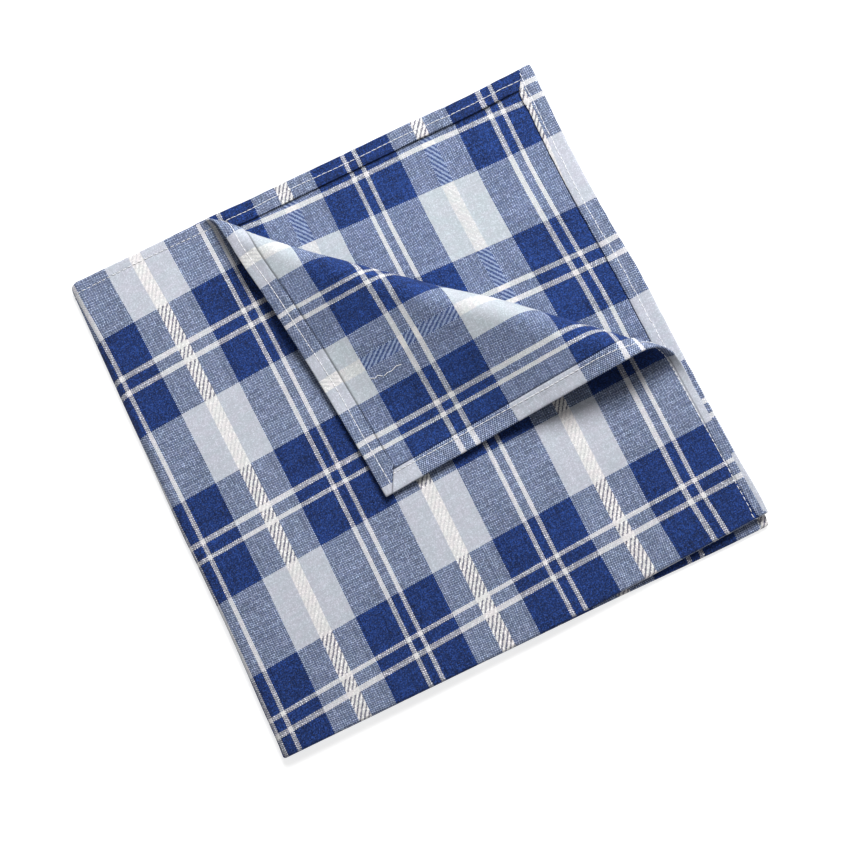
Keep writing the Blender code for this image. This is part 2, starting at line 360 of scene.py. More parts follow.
# Studio
WORLD_LIGHT = 0.29
KEY_TOWARD = {"up": 0.95, "right": 0.15}  # as the camera sees it
KEY_DISTANCE = 1.1
KEY_SIZE = 0.45
KEY_POWER = 17.2
FLOOR_SIZE = 6.0
FLOOR_GREYS = ((0.41, 0.41, 0.41), (0.43, 0.43, 0.43))
FLOOR_GLOW = 0.72


def eased(value):
    value = min(max(value, 0.0), 1.0)
    return value * value * (3 - 2 * value)


def soft_step(value, start, length):
    """0 up to the start and 1 a length further on."""
    return eased((value - start) / length)


def between(rows, key, place):
    """The two rows round a place, and the place's share of the way between them."""
    place = min(max(place, rows[0][key]), rows[-1][key])
    for low, high in zip(rows, rows[1:]):
        if place <= high[key]:
            break
    return low, high, (place - low[key]) / (high[key] - low[key])


def roll_radius(along):
    low, high, share = between(ROLL_ROWS, "along", along)
    return low["radius"] + eased(share) * (high["radius"] - low["radius"])


def roll_profile(run, radius):
    """Forward distance, height and tangent angle after a run of cloth past the lift-off line."""
    if run <= 0:
        return run, 0.0, 0.0
    arc = radius * ROLL_BEND
    if run <= arc:
        angle = run / radius
        return radius * math.sin(angle), radius * (1 - math.cos(angle)), angle
    forward = radius * math.sin(ROLL_BEND)
    height = radius * (1 - math.cos(ROLL_BEND))
    drop = height - FLAP_HEIGHT - LANDING_RADIUS * (1 - math.cos(DESCENT))
    slope = drop / math.sin(DESCENT)
    gone = min(run - arc, slope)
    forward -= gone * math.cos(DESCENT)
    height -= gone * math.sin(DESCENT)
    if run <= arc + slope:
        return forward, height, ROLL_BEND
    left = DESCENT - (run - arc - slope) / LANDING_RADIUS
    flat = max(-left, 0.0) * LANDING_RADIUS
    left = max(left, 0.0)
    forward -= LANDING_RADIUS * (math.sin(DESCENT) - math.sin(left)) + flat
    height = FLAP_HEIGHT + LANDING_RADIUS * (1 - math.cos(left))
    return forward, height, math.pi + left


def roll_start(radius):
    forward, _, _ = roll_profile(FAR_RUN, radius)
    return -(forward + FAR_RUN) / 2


def turn_back(point, lift):
    """Turns a point of the top layer over the crease where it lies past the lift-off line."""
    plan = Vector((point.x, point.y)) - CREASE_START
    along = plan.dot(CREASE_ALONG)
    out = plan.dot(CREASE_OUT)
    radius = roll_radius(along)
    sweep = -CREASE_SWEEP * max(1 - max(along, 0) / CREASE_SWEEP_LENGTH, 0.0) ** 2
    bump = eased(2 - abs(2 * along / ROLL_PULL_LENGTH - 1) * 2)
    pull = ROLL_PULL * bump * eased(1 - abs(out) / ROLL_PULL_REACH)
    run = out - sweep - roll_start(radius)
    if run <= 0:
        lie = CREASE_OUT * -pull
        return point + Vector((lie.x, lie.y, -lift))
    forward, height, angle = roll_profile(run, radius)
    forward += math.sin(angle) * lift
    height -= math.cos(angle) * lift
    shear = FLAP_SHEAR * max(run - radius * ROLL_BEND / 2, 0.0)
    # The flap's hems are stiff and spring up a little between the crease and its tip
    for run_along, inset in (
        ((point.x - CREASE_START.x) / (HALF_WIDTH - CREASE_START.x), HALF_LENGTH - point.y),
        ((point.y - CREASE_END_Y) / (HALF_LENGTH - CREASE_END_Y), HALF_WIDTH - point.x),
    ):
        bow = max(4 * run_along * (1 - run_along), 0.0)
        height += FLAP_SPRING * bow * math.exp(-max(inset, 0.0) / FLAP_SPRING_REACH)
    place = CREASE_START + CREASE_ALONG * (along + shear)
    place = place + CREASE_OUT * (sweep - pull + roll_start(radius) + forward)
    return Vector((place.x, place.y, point.z + height))


def end_section(run, rise):
    """Distance from the bottom, offset from the pair's middle, and the right side's direction."""
    if abs(run) <= END_TURN_HALF:
        angle = run / END_TURN_RADIUS
        distance = rise + END_TURN_RADIUS * (1 - math.cos(angle))
        return distance, END_TURN_RADIUS * math.sin(angle), (-math.cos(angle), math.sin(angle))
    side = math.copysign(1.0, run)
    straight = (abs(run) - END_TURN_HALF) * (1 - rise / HALF_LENGTH)
    return rise + END_TURN_RADIUS + straight, side * END_TURN_RADIUS, (0.0, side)


def bottom_rise(across):
    climb = max(across - BOTTOM_RISE_START, 0.0) / (HALF_WIDTH - BOTTOM_RISE_START)
    return BOTTOM_RISE * climb ** BOTTOM_RISE_POWER


def folded(across, along, lift):
    """The place of a cloth point in the folded handkerchief."""
    upper = across > 0
    rise = bottom_rise(across) if upper else 0.0
    distance, offset, facing = end_section(along - END_FOLD_MISS, rise)
    is_top_layer = upper and across > SIDE_TURN_HALF and offset > END_TURN_RADIUS * FLAT_SHARE
    if not is_top_layer:
        distance -= facing[0] * lift
        offset -= facing[1] * lift
    y = SKIN + distance
    radius = SIDE_TURN_RADIUS + offset
    straight = max(abs(across) - SIDE_TURN_HALF, 0.0)
    angle = min(abs(across) / SIDE_TURN_HALF, 1.0) * math.pi / 2
    inner = 0.5 - min(max(offset / LAYER_PITCH, -0.5), 0.5)
    share = straight / HALF_WIDTH
    x = SIDE_TURN_CENTRE - radius * math.cos(angle) + straight + INNER_REACH * inner * share
    height = radius * math.sin(angle) * math.copysign(1.0, across)
    z = SIDE_TURN_CENTRE + height
    if not upper:
        x -= LOWER_INSET * share
        y -= LOWER_INSET * share * y / HALF_LENGTH
    # The lower half of the side fold leans out, as a soft fold sags under its own weight
    low_share = 0.5 - height / (2 * (SIDE_TURN_RADIUS + END_TURN_RADIUS))
    low_share = min(max(low_share, 0.0), 1.0)
    loss = LEAN_LOSS * eased((LEAN_LOSS_TOP - y) / LEAN_LOSS_FADE) * eased(y / LEAN_LOSS_START)
    lean = SIDE_LEAN - loss
    lean -= LEAN_DIP * eased(1 - abs(y - LEAN_DIP_PLACE) / LEAN_DIP_REACH)
    x -= lean * low_share * math.exp(-straight / SIDE_LEAN_REACH)
    near_top = max(y / HALF_LENGTH, 0.0) ** TOP_POWER
    beside = 1 - soft_step(straight, *TOP_RETREAT_STEP) if upper else 1.0
    y -= TOP_RETREAT * near_top * beside * max(inner, low_share)
    bulge = math.exp(-distance / BOTTOM_REACH_LENGTH)
    y -= BOTTOM_REACH * bulge
    if upper:
        beside = eased((TOP_REACH_END - straight) / TOP_REACH_FADE)
        y += TOP_REACH * near_top * beside * (1 - low_share)
        y -= TOP_DIP * near_top * inner * eased(1 - abs(straight - TOP_DIP_PLACE) / TOP_DIP_REACH)
    else:
        y -= LOWER_BOTTOM_REACH * bulge * soft_step(straight, *LOWER_REACH_STEP)
    point = Vector((x, y, z))
    flare = max(1 - y / RIGHT_FLARE_HEIGHT, 0.0) ** 2 * share ** 2
    if is_top_layer:
        point.x += RIGHT_FLARE * flare
        retreat = EDGE_RETREAT * soft_step(straight, *EDGE_RETREAT_STEP)
        point.x -= retreat * (1 - eased(y / EDGE_RETREAT_TOP))
        point = turn_back(point, lift)
    else:
        if upper:
            point.x += RIGHT_FLARE * flare * (1 - inner) ** 0.5
        dip = eased(1 - abs(y - RIGHT_DIP_PLACE) / RIGHT_DIP_REACH)
        point.x -= RIGHT_DIP * dip * share ** 2
        spread = RIGHT_SPREAD * (1 + math.exp(-(((y - SPREAD_PLACE) / SPREAD_PLACE) ** 2)))
        if not upper:
            spread += LOWER_SPREAD
        below = eased((SPREAD_TOP - y) / SPREAD_FADE)
        point.x += spread * inner * below * share ** SPREAD_POWER
        reach = math.hypot(HALF_WIDTH - x, HALF_LENGTH - y)
        if z > 2 * SKIN:
            point.z += CORNER_LIFT * eased(1 - reach / CORNER_LIFT_REACH)
    swell = math.sin(point.x / STACK_WAVE_LENGTH * math.tau + STACK_WAVE_PHASES[0])
    swell *= math.cos(point.y / STACK_WAVE_LENGTH * math.tau + STACK_WAVE_PHASES[1])
    above = max(point.z - SKIN, 0.0)
    low = min(above / SIDE_TURN_CENTRE, 1.0)
    rippled = 0.0
    for row in RIPPLE_ROWS:
        run = point.x * math.cos(row["turn"]) + point.y * math.sin(row["turn"])
        rippled += row["share"] * math.sin(run / row["length"] * math.tau + row["phase"])
    point.z += (STACK_WAVE * swell + rippled) * above * low
    point.z -= SINK
    return point


def corner_share(inset):
    """1 where a hem crosses the other one at the cloth's corner, 0 away from it."""
    return 1 - eased((inset - CORNER_START) / (CORNER_END - CORNER_START))


def hem_radius(end_inset, is_over, is_upper):
    crossing = HEM_RADIUS_OVER if is_over else HEM_RADIUS_UNDER
    loose = HEM_RADIUS
    if is_upper:
        loose += HEM_SPRING * (1 - soft_step(end_inset, *HEM_SPRING_STEP))
    return loose + corner_share(end_inset) * (crossing - loose)


def strip_width(end_inset, is_over):
    """The hem over the other one has a slanted end."""
    if not is_over:
        return HEM_WIDTH
    places = [row[0] for row in STRIP_END_ROWS]
    widths = [row[1] for row in STRIP_END_ROWS]
    return float(np.interp(end_inset, places, widths))


def hem_turn(line, end_inset, is_over, is_upper, lift):
    """Inset, lift and raw distance past the turn, for one of the hem's grid lines."""
    radius = hem_radius(end_inset, is_over, is_upper)
    width = strip_width(end_inset, is_over)
    part, share = line
    if part == "turn":
        angle = share * math.pi
        arm = radius - lift
        return radius - arm * math.sin(angle), radius - arm * math.cos(angle), radius * angle
    flat = 2 * radius - lift
    half_turn = math.pi * radius
    if part == "strip":
        run = share * (width - radius)
        return radius + run, flat, half_turn + run
    run = width - radius
    rest = CURL_REST
    if is_over:
        rest += 2 * HEM_RADIUS_UNDER * (1 - soft_step(end_inset, HEM_WIDTH, CURL_STEP_FADE))
    angle = share * CURL_TURN
    inset = radius + run + CURL_REACH * math.sin(angle)
    lift = flat - max(flat - rest, 0.0) * (1 - math.cos(angle))
    return inset, lift, half_turn + run + CURL_REACH * angle


def seam_groove(inset):
    return math.exp(-(((inset - SEAM_INSET) / SEAM_GROOVE_HALF) ** 2))


def pucker(across, along):
    """Small waves that the sewing draws into the hems."""
    total = 0.0
    for inset, run, seed in (
        (HALF_WIDTH - abs(across), along, 1.3 + math.copysign(0.8, across)),
        (HALF_LENGTH - abs(along), across, 4.1 + math.copysign(0.5, along)),
    ):
        share = eased(1 - (inset - HEM_WIDTH) / PUCKER_FADE)
        wave = 0.0
        for row in PUCKER_ROWS:
            sway = row["sway"] * math.sin(run / row["sway_length"] + seed)
            wave += row["share"] * math.sin(run / row["length"] * math.tau + sway)
        total += PUCKER * share * wave
    return total


def hem_lines():
    """Grid lines of one hem: half turn, strip and curled inner edge."""
    seam = SEAM_INSET / HEM_WIDTH
    half = SEAM_GROOVE_HALF / HEM_WIDTH
    shares = [0.15, 0.30, *(seam + step * half for step in SEAM_STEPS), 0.82, 1.0]
    lines = [("turn", (step + 1) / HEM_TURN_STEPS) for step in range(HEM_TURN_STEPS)]
    lines += [("strip", share) for share in shares]
    return lines + [("curl", (step + 1) / CURL_STEPS) for step in range(CURL_STEPS)]


def sheet_lines(half, turn_middle, turn_half, fold, steps):
    """Grid lines of the sheet between its hems: close at the fold, and as the steps' table says."""
    places = []
    turn_half = turn_half + fold["margin"]
    count = round(2 * turn_half / fold["step"])
    for index in range(count + 1):
        places.append(turn_middle - turn_half + 2 * turn_half * index / count)
    edge = half - FIRST_LINE_INSET
    for start, end, step in steps:
        count = max(round(abs(end - start) / step), 1)
        for index in range(1, count + 1):
            places.append(start + (end - start) * index / count)
    for side in (-1, 1):
        for shift in SEAM_STEPS:
            places.append(side * (half - SEAM_INSET + shift * SEAM_GROOVE_HALF))
        places.append(side * edge)
    places = sorted(places)
    kept = [places[0]]
    for place in places[1:]:
        if place - kept[-1] > LEAST_STEP:
            kept.append(place)
    return kept


def grid_lines(half, turn_middle, turn_half, fold, steps):
    hem = hem_lines()
    lines = [(-1, line) for line in reversed(hem)]
    lines += [(0, place) for place in sheet_lines(half, turn_middle, turn_half, fold, steps)]
    return lines + [(1, line) for line in hem]


def hemmed(a_line, b_line):
    """Place on the hemmed cloth, lift, and place on the cut cloth, where two grid lines cross."""
    a_side, a_value = a_line
    b_side, b_value = b_line
    across = raw_across = 0.0 if a_side else a_value
    along = raw_along = 0.0 if b_side else b_value
    lift = 0.0
    a_sign = a_side or math.copysign(1, across)
    b_sign = b_side or math.copysign(1, along)
    across_over = a_sign * b_sign < 0
    is_upper = a_sign > 0

    def turn_across(lift):
        end = HALF_LENGTH - abs(along) if not (b_side and not across_over) else IN_OTHER_HEM
        inset, lift, run = hem_turn(a_value, end, across_over, is_upper, lift)
        place = a_side * (HALF_WIDTH - inset)
        raw = a_side * (HALF_WIDTH - hem_radius(end, across_over, is_upper) + run)
        return place, raw, lift

    def turn_along(lift):
        end = HALF_WIDTH - abs(across) if not (a_side and across_over) else IN_OTHER_HEM
        inset, lift, run = hem_turn(b_value, end, not across_over, is_upper, lift)
        place = b_side * (HALF_LENGTH - inset)
        raw = b_side * (HALF_LENGTH - hem_radius(end, not across_over, is_upper) + run)
        return place, raw, lift

    if a_side and b_side:
        if across_over:
            along, raw_along, lift = turn_along(lift)
            across, raw_across, lift = turn_across(lift)
        else:
            across, raw_across, lift = turn_across(lift)
            along, raw_along, lift = turn_along(lift)
    elif a_side:
        across, raw_across, lift = turn_across(lift)
    elif b_side:
        along, raw_along, lift = turn_along(lift)
    grooves = 0.0
    for side, value, inset in (
        (a_side, a_value, HALF_WIDTH - abs(across)),
        (b_side, b_value, HALF_LENGTH - abs(along)),
    ):
        depth = SEAM_GROOVE * seam_groove(inset)
        grooves += -depth if side and value[0] == "strip" else depth / 2
    return across, along, lift + grooves + pucker(across, along), raw_across, raw_along


def skew(b, x):
    """How far up a cross stripe has run at x."""
    x = x if x > 0 else -SKEW_FADE * (1 - math.exp(x / SKEW_FADE))
    low, high, share = between(SKEW_ROWS, "at", b)
    slope = low["slope"] + share * (high["slope"] - low["slope"])
    bend = low["bend"] + share * (high["bend"] - low["bend"])
    return slope * x - bend * x * x


def check_place(across, along):
    """Place in the woven check, in millimetres: the cloth lies a little off its own grain."""
    run = along - END_FOLD_MISS
    rise = bottom_rise(across)
    start = SKIN + END_TURN_RADIUS - END_TURN_HALF + rise
    level = abs(run) * (1 - rise / HALF_LENGTH)
    if run >= 0:
        y = (level + start * eased(run / TOP_START_LENGTH)) * MM
    else:
        y = (-level - start * eased(-run / UNDER_START_LENGTH)) * MM
    x = (across + SIDE_TURN_CENTRE - SIDE_TURN_HALF) * MM
    if along > 0:
        x -= STRIP_EASE * max(x - (HALF_WIDTH * MM - STRIP_EASE_INSET), 0.0)
        lean = LEAN_BEND * y * y * (1 - LEAN_FADE * soft_step(x, *LEAN_FADE_STEP))
        top = soft_step(y, *TOP_LEAN_STEP) * eased(2 - x / TOP_LEAN_REACH)
        lean -= FOLD_LEAN * eased(1 - x / FOLD_LEAN_REACH) + TOP_LEAN * top
        flare = max(1 - y / (RIGHT_FLARE_HEIGHT * MM), 0.0) ** 2 * (x / (HALF_WIDTH * MM)) ** 2
        lean -= RIGHT_FLARE * MM * flare * soft_step(y, *FLARE_STEP)
        edge = -EDGE_LEAN - EDGE_LEAN * eased(y / EDGE_LEAN_HEIGHT)
        lean += (edge - lean) * soft_step(x, *EDGE_LEAN_STEP)
    else:
        lean = LOWER_LEAN * min(max((-y - LOWER_LEAN_START) / LOWER_LEAN_LENGTH, 0.0), 1.0)
        turned = 1 - 2 * soft_step(-y, *LOWER_EDGE_TURN_STEP)
        lean += EDGE_LEAN * soft_step(x, *LOWER_EDGE_STEP) * turned
    shift = LOWER_SHIFT * eased(-across * MM / LOWER_SHIFT_LENGTH)
    b = y
    for _ in range(6):
        b = y - skew(b, x)
    if along < 0 < across:
        level = TOP_STRIPE_SHIFT - TOP_STRIPE_DROP * soft_step(x, *TOP_STRIPE_DROP_STEP)
        level += TOP_STRIPE_RETURN * soft_step(x, *TOP_STRIPE_RETURN_STEP)
        b -= level * soft_step(-y, *TOP_STRIPE_STEP)
    return x - lean + shift, b


def to_world(point):
    return (point.x + SOLID_LOW[0], point.y + SOLID_LOW[1], point.z)


def cloth_grid():
    across = grid_lines(HALF_WIDTH, 0.0, SIDE_TURN_HALF, ACROSS_FOLD, ACROSS_STEPS)
    along = grid_lines(HALF_LENGTH, END_FOLD_MISS, END_TURN_HALF, ALONG_FOLD, ALONG_STEPS)
    places, checks, raws, curls = [], [], [], []
    for a_line in across:
        for b_line in along:
            s, t, lift, raw_s, raw_t = hemmed(a_line, b_line)
            places.append(to_world(folded(s, t, lift)))
            checks.append(check_place(raw_s, raw_t))
            raws.append((raw_s, raw_t))
            turned = [line[1][1] for line in (a_line, b_line) if line[0] and line[1][0] == "curl"]
            curls.append((max(turned, default=0.0), 0.0))
    rows = len(along)
    faces = []
    for i in range(len(across) - 1):
        for j in range(rows - 1):
            start = i * rows + j
            faces.append((start, start + rows, start + rows + 1, start + 1))
    return places, faces, np.array(checks) / MM, np.array(raws), np.array(curls)


def read_all(items, name, width=1, kind=np.int32):
    """The named value of every item, as one flat array."""
    values = np.zeros(len(items) * width, dtype=kind)
    items.foreach_get(name, values)
    return values


def add_object(name, data):
    item = bpy.data.objects.new(name, data)
    bpy.context.scene.collection.objects.link(item)
    return item


def write_uv(mesh, name, values):
    layer = mesh.uv_layers.new(name=name)
    layer.data.foreach_set("uv", values.astype(np.float32).ravel())


def make_cloth():
    places, faces, checks, raws, curls = cloth_grid()
    mesh = bpy.data.meshes.new("cloth_grid")
    mesh.from_pydata(places, [], faces)
    index = read_all(mesh.loops, "vertex_index")
    write_uv(mesh, "cloth", checks[index])
    write_uv(mesh, "edges", raws[index])
    write_uv(mesh, "curl", curls[index])
    write_uv(mesh, "OFBake", raws[index])
    cloth = add_object("checked_cloth", mesh)
    solid = cloth.modifiers.new("thickness", "SOLIDIFY")
    solid.thickness = CLOTH
    solid.offset = 0.0
    solid.use_even_offset = False
    solid.material_offset = 1
    solid.material_offset_rim = 0
    mesh.materials.append(cloth_material("right_side_weave", RIGHT_YARNS, True))
    mesh.materials.append(cloth_material("wrong_side_weave", WRONG_YARNS, False))
    graph = bpy.context.evaluated_depsgraph_get()
    baked = bpy.data.meshes.new_from_object(cloth.evaluated_get(graph), depsgraph=graph)
    cloth.modifiers.clear()
    cloth.data = baked
    bpy.data.meshes.remove(mesh)
    baked.name = "checked_cloth"
    spots = read_all(baked.vertices, "co", 3, np.float32)
    spots[2::3] = np.maximum(spots[2::3], 0.0)
    baked.vertices.foreach_set("co", spots)
    baked.shade_smooth()
    place_bake_map(baked)
    return cloth


def place_bake_map(mesh):
    """The bake map: right side in the left half, wrong side in the right half."""
    reach = max(HALF_WIDTH, HALF_LENGTH) + HEM_WIDTH + BAKE_SPARE
    layer = mesh.uv_layers["OFBake"]
    values = read_all(layer.data, "uv", 2, np.float32).reshape(-1, 2) / (2 * reach) + 0.5
    slots = read_all(mesh.polygons, "material_index")
    wrong = np.repeat(slots, read_all(mesh.polygons, "loop_total")) == 1
    values[:, 0] = values[:, 0] * (0.5 - 2 * BAKE_RIM) + np.where(wrong, 0.5 + BAKE_RIM, BAKE_RIM)
    values[:, 1] = values[:, 1] * (1 - 2 * BAKE_RIM) + BAKE_RIM
    layer.data.foreach_set("uv", values.ravel())


class Graph:
    """Short names for putting shader nodes together."""

    def __init__(self, material):
        material.use_nodes = True
        self.tree = material.node_tree
        self.shader = self.tree.nodes["Principled BSDF"]

    def node(self, kind):
        return self.tree.nodes.new("ShaderNode" + kind)

    def put(self, socket, value):
        if isinstance(value, bpy.types.NodeSocket):
            self.tree.links.new(value, socket)
        elif isinstance(value, tuple) and len(value) == 3 and socket.type == "RGBA":
            socket.default_value = (*value, 1.0)
        else:
            socket.default_value = value

    def math(self, operation, *values):
        node = self.node("Math")
        node.operation = operation
        for socket, value in zip(node.inputs, values):
            self.put(socket, value)
        return node.outputs[0]

    def add(self, *values):
        return functools.reduce(functools.partial(self.math, "ADD"), values)

    def times(self, *values):
        return functools.reduce(functools.partial(self.math, "MULTIPLY"), values)

    def ramp(self, value, low, high, start=0.0, end=1.0):
        node = self.node("MapRange")
        for socket, item in zip(node.inputs, (value, low, high, start, end)):
            self.put(socket, item)
        return node.outputs[0]

    def bell(self, value, middle, half):
        off = self.times(self.add(value, -middle), 1 / half)
        return self.math("POWER", math.e, self.times(off, off, -1.0))

    def mix(self, share, first, second, blend="MIX"):
        node = self.node("Mix")
        node.data_type = "RGBA"
        node.blend_type = blend
        self.put(node.inputs[0], share)
        self.put(node.inputs[6], first)
        self.put(node.inputs[7], second)
        return node.outputs[2]

    def join(self, x, y, z=0.0):
        node = self.node("CombineXYZ")
        for socket, value in zip(node.inputs, (x, y, z)):
            self.put(socket, value)
        return node.outputs[0]

    def uv(self, name):
        node = self.node("UVMap")
        node.uv_map = name
        return node.outputs[0]

    def split(self, vector):
        node = self.node("SeparateXYZ")
        self.put(node.inputs[0], vector)
        return node.outputs

    def bump(self, height, distance):
        node = self.node("Bump")
        node.inputs["Strength"].default_value = BUMP_STRENGTH
        node.inputs["Distance"].default_value = distance
        self.put(node.inputs["Height"], height)
        self.put(self.shader.inputs["Normal"], node.outputs[0])

    def random(self, vector):
        """One random number for each whole place."""
        node = self.node("TexWhiteNoise")
        self.put(node.inputs["Vector"], vector)
        return node.outputs["Value"]

    def noise(self, vector, scale, detail=2.0):
        node = self.node("TexNoise")
        self.put(node.inputs["Vector"], vector)
        node.inputs["Scale"].default_value = scale
        node.inputs["Detail"].default_value = detail
        return node.outputs["Fac"]


def hem_painted_shade(g, is_right_side):
    """How dark the painted shade makes the cloth in the seam's groove and along the inner fold of
    the hems.
    """
    raw_across, raw_along, _ = g.split(g.uv("edges"))
    total = 0.0
    past = []
    for value, half in ((raw_across, HALF_WIDTH), (raw_along, HALF_LENGTH)):
        past.append(g.add(g.times(g.math("ABSOLUTE", value), MM), -half * MM))
    # Painted shade lines: along the seam's groove on the right side, beside the hems' inner fold on
    # the wrong side
    shade_rows = FACE_PAINTED_SHADE if is_right_side else BACK_PAINTED_SHADE
    for own, other, row in zip(past, reversed(past), shade_rows):
        inside = g.math("LESS_THAN", other, -PAINTED_SHADE_STOP * MM)
        line = g.bell(own, row["past"], row["half"])
        total = g.add(total, g.times(line, row["strength"], inside))
    # Painted shadow where a hem's slanted end lies over the other hem's strip
    for own, other, over in zip(past, reversed(past), (1, -1) if is_right_side else ()):
        crossing = g.times(raw_across, raw_along, -over)
        run = g.add(g.times(own, -1.0), -END_START, g.times(other, -END_SLOPE))
        line = g.bell(g.times(run, END_COSINE), END_PAINTED_SHADOW["off"], END_PAINTED_SHADOW["half"])
        raised = g.math("GREATER_THAN", other, END_PAINTED_SHADOW["least"])
        under = g.times(raised, g.math("LESS_THAN", own, 0.0))
        is_over = g.math("GREATER_THAN", crossing, 0.0)
        total = g.add(total, g.times(line, under, is_over, END_PAINTED_SHADOW["strength"]))
    # Painted shade in the curled inner edge of the hems
    total = g.add(total, g.ramp(g.split(g.uv("curl"))[0], *CURL_PAINTED_SHADE))
    return g.math("MINIMUM", total, 1.0)


def yarn_set(g, raw, field, stripe):
    """The yarns of one direction: where they lie, their shape, and which are navy or white."""
    place = g.add(raw, g.times(g.add(g.noise(field, WANDER_SCALE), -0.5), WANDER))
    yarns = g.times(place, 1 / YARN)
    index = g.math("FLOOR", yarns)
    inside = g.add(yarns, g.times(index, -1.0), -0.5)
    middle = g.times(g.add(index, 0.5), YARN)
    ahead = PERIODS_AHEAD * stripe["period"] - stripe["start"]
    away = g.math("PINGPONG", g.add(middle, ahead), stripe["period"] / 2)
    line = g.math("COMPARE", away, stripe["line"], stripe["line_half"])
    return SimpleNamespace(
        place=place,
        index=index,
        middle=middle,
        away=away,
        line=line,
        navy=g.math("SUBTRACT", g.math("LESS_THAN", away, stripe["navy"]), line),
        arch=g.math("COSINE", g.times(inside, math.pi)),
        back=g.math("COSINE", g.times(inside, ROUND_TURN)),
    )


def yarn_colour(g, own, other, yarns):
    """The colour of one direction's yarns: darker where they cross navy ones."""
    pale = g.mix(other.navy, yarns["pale"], yarns["pale_over_navy"])
    lit = g.mix(other.line, yarns["navy_under_pale"], yarns["navy_under_white"])
    colour = g.mix(own.navy, pale, g.mix(other.navy, lit, yarns["navy"]))
    white = g.mix(other.navy, yarns["white"], yarns["white_over_navy"])
    return g.mix(own.line, colour, white)


def twill_stripe(g, a, b, yarns, is_right_side):
    """Colour and height of the dobby twill: floats of cord yarn that lean across their band."""
    slant = g.add(g.times(a.place, math.cos(TWILL_LEAN)), g.times(b.middle, -math.sin(TWILL_LEAN)))
    ragged = g.times(g.add(g.random(g.join(a.index, b.index, 8.0)), -0.5), TWILL_RAGGED)
    phase = g.math("FRACT", g.add(g.times(g.add(slant, 600.0), 1 / TWILL_PITCH), ragged))
    tick = g.random(g.join(a.index, b.index, 21.0))
    floats = RIGHT_TWILL if is_right_side else WRONG_TWILL
    gap = g.math("LESS_THAN", phase, floats["gap"])
    gap = g.times(gap, g.ramp(tick, 0.0, 1.0, floats["least"], 1.0))
    low = g.ramp(b.navy, 0.0, 1.0, floats["low"], TWILL_LOW_ON_NAVY)
    height = g.ramp(gap, 0.0, 1.0, TWILL_TOP, low)
    if is_right_side:
        ground = g.mix(b.navy, yarns["gap_pale"], yarns["gap_navy"])
        return g.mix(gap, yarns["float"], g.mix(b.line, ground, yarns["white"])), height
    over_navy = g.mix(gap, yarns["float"], yarns["gap_navy"])
    faint = g.mix(g.ramp(gap, 0.0, 1.0, *TWILL_FAINT), yarns["gap_pale"], yarns["pale"])
    return g.mix(b.line, g.mix(b.navy, faint, over_navy), yarns["white"]), height


def uneven_tone(g, a, b, a_on_top, plane, dark):
    """Tone of uneven yarn: whole yarns, slubs along them, crossings, and wide soft blotches."""
    a_tone = g.random(g.join(a.index, 3.0, 7.0))
    b_tone = g.random(g.join(5.0, b.index, 2.0))
    a_slub = g.noise(g.join(g.times(a.index, 7.3), g.times(b.place, 0.9), 1.0), 1.0, 1.0)
    b_slub = g.noise(g.join(g.times(a.place, 0.9), g.times(b.index, 7.3), 9.0), 1.0, 1.0)
    yarn, slub, _ = g.split(g.mix(a_on_top, g.join(b_tone, b_slub), g.join(a_tone, a_slub)))
    crossing = g.math("POWER", g.random(g.join(a.index, b.index, 1.0)), 3.0)
    uneven = g.add(
        g.times(g.add(yarn, -0.5), UNEVEN["yarn"]),
        g.times(g.add(slub, -0.5), UNEVEN["slub"]),
        g.times(g.add(crossing, -CROSSING_MIDDLE), UNEVEN["crossing"]),
        g.times(g.add(g.noise(plane, 0.07, 3.0), -0.5), UNEVEN["blotch"]),
    )
    depth = g.ramp(dark, 0.0, 1.0, *UNEVEN_DEPTH)
    return g.math("MAXIMUM", g.add(1.0, g.times(uneven, depth)), LEAST_TONE)


